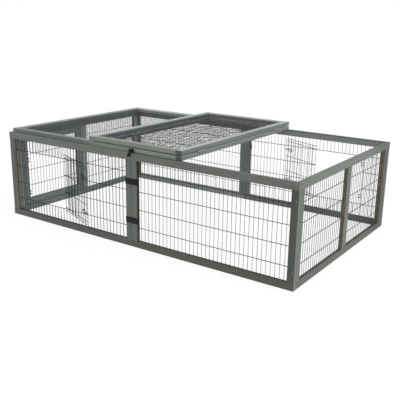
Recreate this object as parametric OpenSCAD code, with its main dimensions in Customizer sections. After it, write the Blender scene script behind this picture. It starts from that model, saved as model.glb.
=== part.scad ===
// Outdoor rabbit run: painted timber frames with welded wire mesh, a three-part folding roof,
// two wire doors in the long walls and one framed door in the left end.
// Frame: X along the run, Y across it, Z up, origin on the ground at the middle of the run.

/* [Run] */
// Length of the run over its long walls
run_l = 1800; // [1500:10:2100]
// Width of the run over its two long walls
run_w = 1100; // [900:10:1300]
// Height of the walls
wall_h = 480; // [460:5:560]

/* [Timber] */
// Width of every rail and stile
rail_w = 35; // [30:1:40]
// Width of an end wall's middle stile and of its stile beside the end door's hinges
post_w = 50; // [40:1:60]
// Width of the stile between a wire door's wall half and its corner
corner_w = 40; // [35:1:60]
// Thickness of the wall timbers
wall_t = 20; // [18:1:26]
// Thickness of the roof timbers
roof_t = 22; // [18:1:26]
// Chamfer along the long edges of every timber
chamfer = 1.5; // [0.5:0.5:3]
// Width of the groove that holds the mesh
groove_w = 4; // [3.2:0.2:6]
// Depth of the groove that holds the mesh
groove_d = 6; // [4:0.5:8]

/* [Wall mesh] */
// Thickness of an upright mesh wire
upright_wire = 1.8; // [1.6:0.1:2.8]
// Height of a level mesh wire
level_wire = 2.4; // [1.8:0.1:3]
// Thickness of the mesh through the wall
mesh_t = 2.5; // [1.8:0.1:3]
// Distance between upright wires
upright_pitch = 22.7; // [18:0.1:30]
// Distance between level wires
level_pitch = 93; // [88:1:100]
// Height of the lowest level wire above the bottom rail
level_first = 69; // [60:1:80]

/* [Wire doors] */
// Distance of a door's hinge wire from the end of the run
door_hinge_x = 425; // [400:1:440]
// Upright wires between the two sides of a doorway
doorway_steps = 13; // [11:1:14]
// Upright wires across a door, fewer than across its doorway
door_steps = 12; // [10:1:13]
// Angle of the front door from closed, as it stands open
front_open = 157.4; // [90:0.2:165]
// Angle of the back door from closed, as it stands open
back_open = 155; // [90:0.2:165]
// Distance between the paired wires at a door's top and bottom
pair_gap = 17; // [12:1:20]
// How far a door's wires sit above the level wires of the wall
door_raise = 3.5; // [3.2:0.1:5]
// Reach of a door below the lowest wire of its doorway
door_drop = 10; // [6:1:14]

/* [Door bolts] */
// Radius of a bolt rod
bolt_r = 1.5; // [1:0.1:1.7]
// Travel of a bolt
bolt_travel = 12; // [8:0.5:12.5]
// Outer radius of a bolt's finger ring
ring_r = 14; // [10:0.5:16]

/* [End door] */
// Gap between the end door and the timbers round it
end_gap = 2; // [1:0.5:4]
// Length of the turn button
button_l = 64; // [58:1:80]

/* [Roof] */
// Distance of the roof from the walls' outer faces
roof_inset = 15; // [5:1:20]
// Gap between two roof panels that lie side by side
roof_gap = 2; // [1:0.5:3]
// Gap between the folded panel and the panel under it
fold_gap = 4; // [3.8:0.1:6]
// Distance between the net wires in the roof
net_pitch = 48; // [40:1:60]
// Thickness of the net wires in the roof
net_wire = 1.6; // [1.2:0.1:2]

/* [Hardware] */
// Length of a roof hinge
roof_hinge_l = 62; // [40:1:80]
// Distance of a roof hinge from the middle of the roof's depth
roof_hinge_y = 375; // [300:5:390]
// Length of an end door hinge
end_hinge_l = 60; // [40:1:80]
// Distance of an end door hinge's middle from the door's top or bottom
end_hinge_inset = 73; // [67:1:155]
// Thickness of a frame clip
clip_t = 3; // [2:0.5:4]
// Height of a frame clip
clip_h = 30; // [20:1:36]
// Depth of a frame clip's legs beside the stiles
clip_reach = 6.5; // [5:0.5:7.5]
// Height of the lower frame clips' middle above the bottom rail
clip_low_inset = 104.5; // [90:0.5:130]
// Depth of the upper frame clips' middle below the top rail
clip_high_inset = 106; // [90:0.5:130]
// Distance of the roof latch from the middle of the run, towards the left
latch_x = 10; // [-10:1:16]
// Length of the roof latch's hook, from its pivot to the stud it holds
hook_l = 13; // [11:0.5:15]
// Height of the latch's base plate
latch_plate_h = 16; // [14:1:20]
// Distance of a corner screw from the end of its stile
screw_inset = 46; // [30:1:90]
// Grip of a corner screw in the end wall's stile
screw_grip = 25; // [15:1:28]

/* [Hidden] */
cut = 1;
play = 0.3;
pin_play = 0.08;
opening_h = wall_h - 2 * rail_w;
half_l = run_l / 2;
wall_mid_y = run_w / 2 - wall_t / 2;
wall_mid_x = run_l / 2 - wall_t / 2;
end_w = run_w - 2 * wall_t;
panel_w = half_l - 2 * rail_w;

// Level wires of the walls, above the bottom of the opening
level_rows = [for (z = [level_first:level_pitch:opening_h - level_wire]) z];
doorway_low = rail_w + level_rows[0];
doorway_high = rail_w + level_rows[3];
doorway_w = doorway_steps * upright_pitch;

// Wire doors, measured from the hinge wire: along the door, out of the wall, and up
door_w = door_steps * upright_pitch;
door_wire = 2.4;
eye_in = 2.2;
eye_out = 4.7;
eye_h = 3;
door_out = (eye_in + eye_out) / 2;
door_rows = [
    doorway_low - door_drop,
    doorway_low - door_drop + pair_gap,
    rail_w + level_rows[1] + door_raise,
    rail_w + level_rows[2] + door_raise,
    doorway_high + door_raise,
    doorway_high + door_raise + pair_gap
];
bolt_rows = [
    rail_w + (level_rows[0] + level_rows[1]) / 2,
    rail_w + (level_rows[2] + level_rows[3]) / 2
];
guide_play = 0.6;
guide_wire = 2.1;
guide_in = bolt_r + guide_play;
guide_out = guide_in + guide_wire;
guide_l = 3;
bolt_out = door_out + door_wire / 2 + guide_out;
bolt_tip = door_w + guide_l / 2;
ring_x = door_w - upright_pitch - guide_l / 2 - bolt_travel - ring_r - play;
ring_wire = 3;
ring_t = 2.6;
ring_grip = 2;
keeper_wire = 2.4;
keeper_gap = 3;
keeper_side = 4;
keeper_x = door_w + guide_l / 2 + keeper_gap;
keeper_half = guide_out + keeper_side;
keeper_out = bolt_out + bolt_r + keeper_gap;

// Framed door in the front half of the left end
end_bay_w = (end_w - rail_w - 2 * post_w) / 2;
end_door_w = end_bay_w - 2 * end_gap;
end_door_h = opening_h - 2 * end_gap;
end_door_y = -end_w / 2 + post_w + end_gap;
end_hinge_lift = 3.2;
end_hinge_leaf = 22;
end_hinge_t = 2;
end_hinge_r = 3;
end_pin_r = 1.4;
button_w = 16;
button_t = 5;
button_screw_r = 2.5;
end_hinge_z = end_door_h / 2 - end_hinge_inset;

// Roof
roof_d = run_w - 2 * roof_inset;
roof_step = (run_l - 2 * roof_inset) / 3;
roof_panel_w = roof_step - roof_gap;
net_t = 1.6;
hinge_lift = fold_gap / 2;
fold_axis_z = wall_h + roof_t + hinge_lift;
left_axis_x = -roof_step / 2;
right_axis_x = roof_panel_w / 2 + hinge_lift;
roof_leaf_w = 18;
roof_leaf_t = 1.2;
left_barrel_r = hinge_lift - 0.2;
right_barrel_r = hinge_lift * 1.25;
roof_pin_r = 0.9;

// Roof latch
latch_plate_t = 2.5;
latch_plate_w = 20;
pivot_down = 5;
pivot_up = 12;
pivot_z = wall_h - pivot_down;
stud_r = 2;
hook_t = 3;
hook_end = 4.8;
hook_rest = 235;
hook_shut = 64;
stud_x = -latch_x + hook_l * cos(hook_shut);
stud_z = pivot_z + hook_l * sin(hook_shut);
latch_head_t = 1.2;
latch_face = -run_w / 2;
hook_back = latch_face - latch_plate_t - play;
hook_front = hook_back - hook_t;
latch_reach = hook_front - play - latch_head_t;

// Corner screws
screw_shank = 2;
screw_play = 0.05;
screw_head = 3.6;
screw_head_t = 1.5;
screw_l = wall_t + screw_grip;
screw_heights = [rail_w + screw_inset, wall_h - rail_w - screw_inset];
screw_x = half_l - wall_t / 2;

painted = [0.40, 0.42, 0.39];
painted_light = [0.50, 0.53, 0.50];
wire_grey = [0.30, 0.31, 0.33];
zinc = [0.72, 0.68, 0.58];
black = [0.07, 0.07, 0.06];

// ---------- timbers ----------

// Cross-section of a timber: its width up, its thickness centred
module timber_section(thickness, width) {
    half = thickness / 2;
    polygon([
        [-half + chamfer, 0], [half - chamfer, 0], [half, chamfer], [half, width - chamfer],
        [half - chamfer, width], [-half + chamfer, width], [-half, width - chamfer], [-half, chamfer]
    ]);
}

// A timber along X, its width up, with grooves in its edges, stopped short of its ends
module timber(length, thickness, low_groove, high_groove, stop, width = rail_w) {
    difference() {
        rotate([90, 0, 90]) linear_extrude(length) timber_section(thickness, width);
        if (low_groove) groove(length, stop, -cut);
        if (high_groove) groove(length, stop, width - groove_d);
    }
}

module groove(length, stop, z) {
    extra = stop > 0 ? 0 : cut;
    translate([stop - extra, -groove_w / 2, z])
        cube([length - 2 * stop + 2 * extra, groove_w, groove_d + cut]);
}

// A timber standing up, its width from 0 along X
module upright(length, thickness, low_groove, high_groove, width = rail_w) {
    translate([width, 0, 0]) rotate([0, -90, 0]) timber(length, thickness, low_groove, high_groove, 0, width);
}

// ---------- one framed panel: X along it, Z up, its thickness centred on Y ----------

module panel_bottom_rail(width, thickness) {
    timber(width, thickness, false, true, rail_w);
}

module panel_top_rail(width, height, thickness) {
    translate([0, 0, height - rail_w]) timber(width, thickness, true, false, rail_w);
}

module panel_stiles(width, height, thickness, first = rail_w, last = rail_w) {
    translate([0, 0, rail_w]) {
        upright(height - 2 * rail_w, thickness, true, false, first);
        translate([width - last, 0, 0]) upright(height - 2 * rail_w, thickness, false, true, last);
    }
}

// Flat welded mesh between x 0 and width, z 0 and height, its wires' ends in the grooves
module mesh(width, height, columns, rows) {
    rotate([90, 0, 0]) linear_extrude(mesh_t, center = true) mesh_outline(width, height, columns, rows);
}

module mesh_outline(width, height, columns, rows) {
    for (x = columns)
        translate([x - upright_wire / 2, -groove_d]) square([upright_wire, height + 2 * groove_d]);
    for (z = rows)
        translate([-groove_d, z - level_wire / 2]) square([width + 2 * groove_d, level_wire]);
}

// Upright wires in steps from a first wire, both ways, clear of the edges
function wires_from(first, width) = [
    for (i = [-ceil(first / upright_pitch):ceil((width - first) / upright_pitch)])
        let (x = first + i * upright_pitch)
        if (x > 2 * upright_wire && x < width - 2 * upright_wire) x
];

function wires_centred(width) = wires_from(width / 2 + upright_pitch / 2, width);

// Level wires in steps from the middle of a panel, up and down, clear of the edges
function levels_centred(height) = [
    for (i = [-ceil(height / level_pitch):ceil(height / level_pitch)])
        let (z = height / 2 + i * level_pitch)
        if (z > 2 * level_wire && z < height - 2 * level_wire) z
];

// Net of a roof panel, coarser than the real one
module net(width, height) {
    nx = floor(width / net_pitch);
    nz = floor(height / net_pitch);
    rotate([90, 0, 0]) linear_extrude(net_t, center = true) {
        for (i = [0:nx])
            translate([(width - nx * net_pitch) / 2 + i * net_pitch - net_wire / 2, -groove_d])
                square([net_wire, height + 2 * groove_d]);
        for (i = [0:nz])
            translate([-groove_d, (height - nz * net_pitch) / 2 + i * net_pitch - net_wire / 2])
                square([width + 2 * groove_d, net_wire]);
    }
}

// ---------- places of the walls ----------

// Long wall panels: X from the outer corner to the middle for the left half of the front
module at_front_left() { translate([-half_l, -wall_mid_y, 0]) children(); }
module at_front_right() { translate([0, -wall_mid_y, 0]) children(); }
module at_back_left() { rotate([0, 0, 180]) at_front_right() children(); }
module at_back_right() { rotate([0, 0, 180]) at_front_left() children(); }
module at_right_end() { translate([wall_mid_x, -end_w / 2, 0]) rotate([0, 0, 90]) children(); }
module at_left_end() { rotate([0, 0, 180]) at_right_end() children(); }

// Stiles of a long wall half, drilled for the corner screws at the side that meets the end wall
module long_stiles(corner_x, first = rail_w) {
    difference() {
        panel_stiles(half_l, wall_h, wall_t, first);
        for (z = screw_heights) translate([corner_x, 0, z]) screw_hole(wall_t + 2 * cut);
    }
}

module screw_hole(length) {
    rotate([90, 0, 0]) cylinder(r = screw_shank + screw_play, h = length, center = true, $fn = 24);
}

// Upright wires of the wall half that holds a doorway: one falls on each side of the doorway
door_panel_w = half_l - corner_w - rail_w;
doorway_x = door_hinge_x - corner_w;
door_columns = wires_from(doorway_x, door_panel_w);

module door_mesh() {
    left = doorway_x - doorway_w;
    translate([corner_w, 0, rail_w]) rotate([90, 0, 0]) linear_extrude(mesh_t, center = true) difference() {
        mesh_outline(door_panel_w, opening_h, door_columns, level_rows);
        translate([left + upright_wire / 2, level_rows[0] + level_wire / 2])
            square([doorway_w - upright_wire, level_rows[3] - level_rows[0] - level_wire]);
    }
}

module plain_mesh(width) {
    translate([rail_w, 0, rail_w]) mesh(width, opening_h, wires_centred(width), level_rows);
}

// ---------- front and back walls ----------

module front_left_top_rail() color(painted) at_front_left() panel_top_rail(half_l, wall_h, wall_t);
module front_left_bottom_rail() color(painted) at_front_left() panel_bottom_rail(half_l, wall_t);
module front_left_stiles() color(painted) at_front_left() long_stiles(half_l - screw_x, corner_w);
module front_left_mesh() color(wire_grey) at_front_left() door_mesh();

module front_right_top_rail() color(painted) at_front_right() panel_top_rail(half_l, wall_h, wall_t);
module front_right_bottom_rail() color(painted) at_front_right() panel_bottom_rail(half_l, wall_t);
module front_right_stiles() color(painted) at_front_right() long_stiles(screw_x);
module front_right_mesh() color(wire_grey) at_front_right() plain_mesh(panel_w);

module back_left_top_rail() color(painted) at_back_left() panel_top_rail(half_l, wall_h, wall_t);
module back_left_bottom_rail() color(painted) at_back_left() panel_bottom_rail(half_l, wall_t);
module back_left_stiles() color(painted) at_back_left() long_stiles(screw_x);
module back_left_mesh() color(wire_grey) at_back_left() plain_mesh(panel_w);

module back_right_top_rail() color(painted) at_back_right() panel_top_rail(half_l, wall_h, wall_t);
module back_right_bottom_rail() color(painted) at_back_right() panel_bottom_rail(half_l, wall_t);
module back_right_stiles() color(painted) at_back_right() long_stiles(half_l - screw_x, corner_w);
module back_right_mesh() color(wire_grey) at_back_right() door_mesh();

// ---------- end walls ----------

module end_stiles() {
    difference() {
        union() {
            panel_stiles(end_w, wall_h, wall_t, rail_w, post_w);
            translate([rail_w + end_bay_w, 0, rail_w]) upright(opening_h, wall_t, true, true, post_w);
        }
        for (x = [0, end_w], z = screw_heights) translate([x, 0, z]) end_screw_hole();
    }
}

module end_screw_hole() {
    rotate([0, 90, 0]) cylinder(r = screw_shank + screw_play, h = 2 * (screw_grip + play), center = true, $fn = 24);
}

module bay_mesh() {
    plain_mesh(end_bay_w);
}

module right_end_rails() color(painted_light) at_right_end() {
    panel_bottom_rail(end_w, wall_t);
    panel_top_rail(end_w, wall_h, wall_t);
}

module right_end_stiles() color(painted_light) at_right_end() end_stiles();
module right_end_mesh() color(wire_grey) at_right_end() {
    bay_mesh();
    translate([end_bay_w + post_w, 0, 0]) bay_mesh();
}

module left_end_rails() color(painted) at_left_end() {
    panel_bottom_rail(end_w, wall_t);
    panel_top_rail(end_w, wall_h, wall_t);
}

module left_end_stiles() color(painted) at_left_end() end_stiles();
module left_end_mesh() color(wire_grey) at_left_end() bay_mesh();

// ---------- framed door in the left end ----------

module at_end_door() {
    translate([-wall_mid_x, end_door_y, rail_w + end_gap]) rotate([0, 0, 90]) children();
}

module end_door_rails() color(painted) at_end_door() {
    panel_bottom_rail(end_door_w, wall_t);
    panel_top_rail(end_door_w, end_door_h, wall_t);
}

module end_door_stiles() color(painted) at_end_door() panel_stiles(end_door_w, end_door_h, wall_t);

module end_door_mesh() color(wire_grey) at_end_door() {
    clear_w = end_door_w - 2 * rail_w;
    clear_h = end_door_h - 2 * rail_w;
    translate([rail_w, 0, rail_w]) mesh(clear_w, clear_h, wires_centred(clear_w), levels_centred(clear_h));
}

// ---------- hinges ----------

// One leaf of a hinge: its axis along X, its plate towards +Y and below the axis by lift
module hinge_leaf(length, leaf_w, leaf_t, lift, barrel_r, pin_r, middle) {
    third = length / 3;
    own = middle ? [0] : [-third, third];
    other = middle ? [-third, third] : [0];
    difference() {
        union() {
            translate([-length / 2, 0, -lift]) cube([length, leaf_w, leaf_t]);
            for (x = own) translate([x, 0, 0]) barrel(barrel_r, third - play);
        }
        for (x = other) translate([x, 0, 0]) barrel(barrel_r + play, third + play);
        barrel(pin_r + pin_play, length + cut);
    }
}

module barrel(r, length) {
    rotate([0, 90, 0]) cylinder(r = r, h = length, center = true, $fn = 32);
}

// End door hinges: axis up, on the outer faces of the stile and the door
module at_end_hinges() {
    for (side = [-1, 1])
        translate([-half_l - end_hinge_lift, end_door_y - end_gap / 2, wall_h / 2 + side * end_hinge_z])
            rotate([0, -90, 0]) children();
}

module end_leaf(middle) {
    hinge_leaf(end_hinge_l, end_hinge_leaf, end_hinge_t, end_hinge_lift, end_hinge_r, end_pin_r, middle);
}

module end_hinge_fixed_leaves() color(zinc) at_end_hinges() mirror([0, 1, 0]) end_leaf(false);
module end_hinge_door_leaves() color(zinc) at_end_hinges() end_leaf(true);
module end_hinge_pins() color(zinc) at_end_hinges() barrel(end_pin_r, end_hinge_l);

// ---------- turn button of the end door ----------

module at_button() {
    translate([-half_l, 0, wall_h / 2]) rotate([0, -90, 0]) children();
}

module end_door_button() color(zinc) at_button() difference() {
    translate([0, 0, play]) linear_extrude(button_t) square([button_l, button_w], center = true);
    translate([0, 0, -cut]) cylinder(r = button_screw_r + pin_play, h = button_t + 3 * cut, $fn = 32);
}

module end_door_button_screw() color(zinc) at_button() {
    cylinder(r = button_screw_r, h = button_t + 2 * play + cut, $fn = 32);
    translate([0, 0, button_t + 2 * play]) cylinder(r = 2 * button_screw_r, h = 2 * cut, $fn = 32);
}

// ---------- roof ----------

// A roof panel lies flat: its own X across the run, its Z along the run, its underside on the walls
module at_roof(x) {
    translate([x - roof_panel_w / 2, -roof_d / 2, wall_h + roof_t / 2]) rotate([90, 0, 90]) children();
}

module roof_side_rails() {
    panel_bottom_rail(roof_d, roof_t);
    panel_top_rail(roof_d, roof_panel_w, roof_t);
}

module roof_cross_rails() {
    panel_stiles(roof_d, roof_panel_w, roof_t);
}

module roof_net() {
    translate([rail_w, 0, rail_w]) net(roof_d - 2 * rail_w, roof_panel_w - 2 * rail_w);
}

// The right panel is folded over onto the middle one, about the axis of their hinges
module folded() {
    translate([2 * right_axis_x, 0, 2 * fold_axis_z]) rotate([0, 180, 0]) children();
}

right_panel_x = right_axis_x + hinge_lift + roof_panel_w / 2;

module roof_left_side_rails() color(painted_light) at_roof(-roof_step) roof_side_rails();
module roof_left_cross_rails() color(painted_light) at_roof(-roof_step) roof_cross_rails();
module roof_left_mesh() color(wire_grey) at_roof(-roof_step) roof_net();
module roof_middle_side_rails() color(painted_light) at_roof(0) roof_side_rails();
module roof_middle_cross_rails() color(painted_light) at_roof(0) roof_cross_rails();
module roof_middle_mesh() color(wire_grey) at_roof(0) roof_net();
module roof_right_side_rails() color(painted_light) folded() at_roof(right_panel_x) roof_side_rails();
module roof_right_cross_rails() color(painted_light) folded() at_roof(right_panel_x) roof_cross_rails();
module roof_right_mesh() color(wire_grey) folded() at_roof(right_panel_x) roof_net();

// Roof hinges: axis along Y, plates on the timbers' top faces
module at_roof_hinges(x) {
    for (y = [-roof_hinge_y, roof_hinge_y])
        translate([x, y, fold_axis_z]) rotate([0, 0, -90]) children();
}

module left_leaf(middle) {
    hinge_leaf(roof_hinge_l, roof_leaf_w, roof_leaf_t, hinge_lift, left_barrel_r, roof_pin_r, middle);
}

module right_leaf(middle) {
    hinge_leaf(roof_hinge_l, roof_leaf_w, roof_leaf_t, hinge_lift, right_barrel_r, roof_pin_r, middle);
}

module left_hinge_fixed_leaves() color(zinc) at_roof_hinges(left_axis_x) mirror([0, 1, 0]) left_leaf(false);
module left_hinge_moving_leaves() color(zinc) at_roof_hinges(left_axis_x) left_leaf(true);
module left_hinge_pins() color(zinc) at_roof_hinges(left_axis_x) barrel(roof_pin_r, roof_hinge_l);
module right_hinge_lower_leaves() color(zinc) at_roof_hinges(right_axis_x)
    mirror([0, 1, 0]) right_leaf(false);
module right_hinge_upper_leaves() color(zinc) at_roof_hinges(right_axis_x)
    mirror([0, 0, 1]) mirror([0, 1, 0]) right_leaf(true);
module right_hinge_pins() color(zinc) at_roof_hinges(right_axis_x) barrel(roof_pin_r, roof_hinge_l);

// ---------- wire doors ----------

// A door in its own frame: hinge wire at X 0, door along +X, outside at -Y, heights above the ground
module wire_door() {
    rows = door_rows;
    uprights = [for (i = [1:door_steps]) i * upright_pitch];
    top = rows[5] + door_wire / 2;
    bottom = rows[0] - door_wire / 2;
    translate([0, -door_out, 0]) rotate([90, 0, 0]) linear_extrude(door_wire, center = true) {
        for (x = uprights) translate([x - door_wire / 2, bottom]) square([door_wire, top - bottom]);
        for (z = rows) translate([0, z - door_wire / 2]) square([door_w + door_wire / 2, door_wire]);
    }
    for (z = rows) translate([0, 0, z]) hinge_eye();
}

// Eyes on the door's last two uprights, a pair for each bolt, each on a foot against its upright
module bolt_guides() {
    for (z = bolt_rows, x = [door_w - upright_pitch, door_w]) translate([x, -bolt_out, z]) guide_eye();
}

module hinge_eye() {
    difference() {
        cylinder(r = eye_out, h = eye_h, center = true, $fn = 32);
        cylinder(r = eye_in, h = eye_h + cut, center = true, $fn = 32);
    }
}

module guide_eye() {
    difference() {
        union() {
            rotate([0, 90, 0]) cylinder(r = guide_out, h = guide_l, center = true, $fn = 32);
            translate([-door_wire / 2, 0, -guide_l / 2]) cube([door_wire, guide_out, guide_l]);
        }
        rotate([0, 90, 0]) cylinder(r = guide_in, h = guide_l + cut, center = true, $fn = 32);
    }
}

// A sliding bolt: a rod through two guide eyes, with a ring for a finger
module door_bolt() {
    rod_start = ring_x + ring_r - ring_grip;
    translate([rod_start, 0, 0]) rotate([0, 90, 0]) cylinder(r = bolt_r, h = bolt_tip - rod_start, $fn = 32);
    translate([ring_x, 0, 0]) rotate([90, 0, 0]) difference() {
        cylinder(r = ring_r, h = ring_t, center = true, $fn = 48);
        cylinder(r = ring_r - ring_wire, h = ring_t + cut, center = true, $fn = 48);
    }
}

// Doors as they stand open: the front one is on the left, the back one is its half turn
module at_front_door(angle) {
    translate([door_hinge_x - half_l, -wall_mid_y, 0]) rotate([0, 0, angle]) mirror([1, 0, 0]) children();
}

module at_back_door(angle) {
    rotate([0, 0, 180]) at_front_door(angle) children();
}

module bolt_at(row) {
    translate([0, -bolt_out, bolt_rows[row]]) door_bolt();
}

module front_wire_door() color(wire_grey) at_front_door(front_open) wire_door();
module front_bolt_guides() color(wire_grey) at_front_door(front_open) bolt_guides();
module front_upper_bolt() color(wire_grey) at_front_door(front_open) bolt_at(1);
module front_lower_bolt() color(wire_grey) at_front_door(front_open) bolt_at(0);
module back_wire_door() color(wire_grey) at_back_door(back_open) wire_door();
module back_bolt_guides() color(wire_grey) at_back_door(back_open) bolt_guides();
module back_upper_bolt() color(wire_grey) at_back_door(back_open) bolt_at(1);
module back_lower_bolt() color(wire_grey) at_back_door(back_open) bolt_at(0);

// Keepers: staples on the doorway's far wire that stand out in front of the bolts' tips
module keeper() {
    half = keeper_wire / 2;
    reach = doorway_w - upright_wire / 2 - keeper_x + half;
    for (side = [-1, 1]) translate([keeper_x - half, -half, side * keeper_half - half]) {
        cube([reach, keeper_wire, keeper_wire]);
        translate([0, half - keeper_out, 0]) cube([keeper_wire, keeper_out, keeper_wire]);
    }
    translate([keeper_x - half, -keeper_out - half, -keeper_half - half])
        cube([keeper_wire, keeper_wire, 2 * keeper_half + keeper_wire]);
}

module bolt_keepers() color(wire_grey) {
    for (z = bolt_rows) {
        at_front_door(0) translate([0, 0, z]) keeper();
        at_back_door(0) translate([0, 0, z]) keeper();
    }
}

// ---------- roof latch on the front ----------

module roof_latch_plate() color(black) {
    front = latch_face - latch_plate_t;
    translate([-latch_x - latch_plate_w / 2, front, pivot_z - pivot_up])
        cube([latch_plate_w, latch_plate_t, latch_plate_h]);
    translate([-latch_x, front + cut / 2, pivot_z]) latch_pin(front + cut / 2 - latch_reach, stud_r);
    translate([-latch_x, hook_front - play, pivot_z]) latch_pin(latch_head_t, stud_r * 1.7);
}

module latch_pin(length, r) {
    rotate([90, 0, 0]) cylinder(r = r, h = length, $fn = 32);
}

module roof_latch_hook() color(black)
    translate([-latch_x, hook_back, pivot_z]) rotate([90, 0, 0]) rotate([0, 0, hook_rest])
    linear_extrude(hook_t) difference() {
        hull() {
            circle(r = hook_end, $fn = 32);
            translate([hook_l, 0]) circle(r = hook_end, $fn = 32);
        }
        circle(r = stud_r + pin_play, $fn = 32);
        translate([hook_l, 0]) circle(r = stud_r + play, $fn = 32);
        translate([hook_l - stud_r - 1.5, 0]) square([2 * stud_r + 1.5 + play, hook_end + cut]);
    }

module roof_latch_stud() color(black) {
    back = -roof_d / 2;
    front = latch_face + cut;
    translate([stud_x - latch_plate_w / 2, front, wall_h + cut])
        cube([latch_plate_w, back - front, roof_t - 3 * cut]);
    translate([stud_x, front + cut / 2, stud_z]) latch_pin(front + cut / 2 - latch_reach, stud_r);
}

// ---------- clips and screws ----------

// A bent plate that grips the two middle stiles of a long wall
module frame_clip() {
    translate([-rail_w - clip_t, -wall_mid_y - wall_t / 2 - clip_t, -clip_h / 2]) {
        cube([2 * (rail_w + clip_t), clip_t, clip_h]);
        for (x = [0, 2 * rail_w + clip_t]) translate([x, 0, 0]) cube([clip_t, clip_reach + clip_t, clip_h]);
    }
}

module frame_clips() color(black) {
    for (z = [rail_w + clip_low_inset, wall_h - rail_w - clip_high_inset], turn = [0, 180])
        rotate([0, 0, turn]) translate([0, 0, z]) frame_clip();
}

module corner_screw() {
    rotate([-90, 0, 0]) {
        translate([0, 0, -screw_head_t]) cylinder(r = screw_head, h = screw_head_t, $fn = 32);
        translate([0, 0, -screw_head_t / 2]) cylinder(r = screw_shank, h = screw_l + screw_head_t / 2, $fn = 24);
    }
}

module corner_screws() color(zinc) {
    for (x = [-screw_x, screw_x], z = screw_heights, turn = [0, 180])
        rotate([0, 0, turn]) translate([x, -run_w / 2, z]) corner_screw();
}

front_left_top_rail();
front_left_bottom_rail();
front_left_stiles();
front_left_mesh();
front_right_top_rail();
front_right_bottom_rail();
front_right_stiles();
front_right_mesh();
back_left_top_rail();
back_left_bottom_rail();
back_left_stiles();
back_left_mesh();
back_right_top_rail();
back_right_bottom_rail();
back_right_stiles();
back_right_mesh();
right_end_rails();
right_end_stiles();
right_end_mesh();
left_end_rails();
left_end_stiles();
left_end_mesh();
end_door_rails();
end_door_stiles();
end_door_mesh();
end_hinge_fixed_leaves();
end_hinge_door_leaves();
end_hinge_pins();
end_door_button();
end_door_button_screw();
roof_left_side_rails();
roof_left_cross_rails();
roof_left_mesh();
roof_middle_side_rails();
roof_middle_cross_rails();
roof_middle_mesh();
roof_right_side_rails();
roof_right_cross_rails();
roof_right_mesh();
left_hinge_fixed_leaves();
left_hinge_moving_leaves();
left_hinge_pins();
right_hinge_lower_leaves();
right_hinge_upper_leaves();
right_hinge_pins();
front_wire_door();
front_bolt_guides();
front_upper_bolt();
front_lower_bolt();
back_wire_door();
back_bolt_guides();
back_upper_bolt();
back_lower_bolt();
bolt_keepers();
roof_latch_plate();
roof_latch_hook();
roof_latch_stud();
frame_clips();
corner_screws();
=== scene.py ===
"""Looks for the outdoor rabbit run: painted timber, round welded wire, fine roof nets, bent wire hardware.

Everything is in metres in the part's own frame: X along the run, Y across it with the front at -Y, Z up.
"""

import math
import random

import bpy
from mathutils import Matrix, Vector, noise


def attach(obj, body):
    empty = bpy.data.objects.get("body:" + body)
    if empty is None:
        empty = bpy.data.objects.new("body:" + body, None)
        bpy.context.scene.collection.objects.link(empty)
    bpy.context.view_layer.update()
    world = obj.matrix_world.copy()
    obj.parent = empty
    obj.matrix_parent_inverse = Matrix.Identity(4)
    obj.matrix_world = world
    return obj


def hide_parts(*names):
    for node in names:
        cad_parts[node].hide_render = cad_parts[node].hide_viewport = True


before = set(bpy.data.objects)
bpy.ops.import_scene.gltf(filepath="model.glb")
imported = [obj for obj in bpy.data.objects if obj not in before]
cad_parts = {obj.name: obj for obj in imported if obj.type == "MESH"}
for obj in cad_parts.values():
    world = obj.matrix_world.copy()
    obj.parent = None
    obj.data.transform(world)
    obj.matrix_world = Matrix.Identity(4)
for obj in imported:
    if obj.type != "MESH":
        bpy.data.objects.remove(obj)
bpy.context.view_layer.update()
MM = 0.001

# ---------- sizes repeated from the part, in metres ----------

# Walls: outer halves and height, timber widths and thicknesses, grooves that hold the meshes
HALF_L, HALF_W, WALL_H = 0.900, 0.550, 0.480
RAIL, POST, CORNER = 0.035, 0.050, 0.040
WALL_T, ROOF_T = 0.020, 0.022
GROOVE = 0.006
WALL_X, WALL_Y = HALF_L - WALL_T / 2, HALF_W - WALL_T / 2
OPEN_H = WALL_H - 2 * RAIL
END_W = 2 * HALF_W - 2 * WALL_T
BAY_W = (END_W - RAIL - 2 * POST) / 2
NEAR_BAY_Y, FAR_BAY_Y = -END_W / 2 + RAIL, END_W / 2 - POST - BAY_W

# Welded mesh: steps of its wires, heights of its rows above the bottom rail
PITCH, ROW_PITCH = 0.0227, 0.093
ROWS = [0.069 + ROW_PITCH * i for i in range(4)]

# Wire doors: heights of their bars and bolts above the ground, how far they stand open at rest, and where the
# ring of a bolt drawn back is, clear of its guide
HINGE_X = 0.475
DOORWAY_W, DOOR_W = 13 * PITCH, 12 * PITCH
DOOR_ROWS = [0.094, 0.111, 0.2005, 0.2935, 0.3865, 0.4035]
BOLT_ROWS = [0.1505, 0.3365]
FRONT_OPEN, BACK_OPEN = 157.4, 155.0
BOLT_OUT = 0.00885
GUIDE_HALF_L, BOLT_TRAVEL, RING_OUTER_R, RING_PLAY = 0.0015, 0.012, 0.014, 0.0003
RING_X = DOOR_W - PITCH - GUIDE_HALF_L - BOLT_TRAVEL - RING_OUTER_R - RING_PLAY

# Framed end door, set in the left end with a gap all round
END_GAP = 0.002
END_DOOR_W, END_DOOR_H = BAY_W - 2 * END_GAP, OPEN_H - 2 * END_GAP
END_DOOR_Y, END_DOOR_Z = -END_W / 2 + POST + END_GAP, RAIL + END_GAP

# Roof: its depth, a panel's width and step, and the height about which the right panel is folded over
ROOF_D, PANEL_W, PANEL_STEP, FOLD_Z = 1.070, 0.588, 0.590, 0.504
ROOF_TOP = WALL_H + ROOF_T

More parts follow.
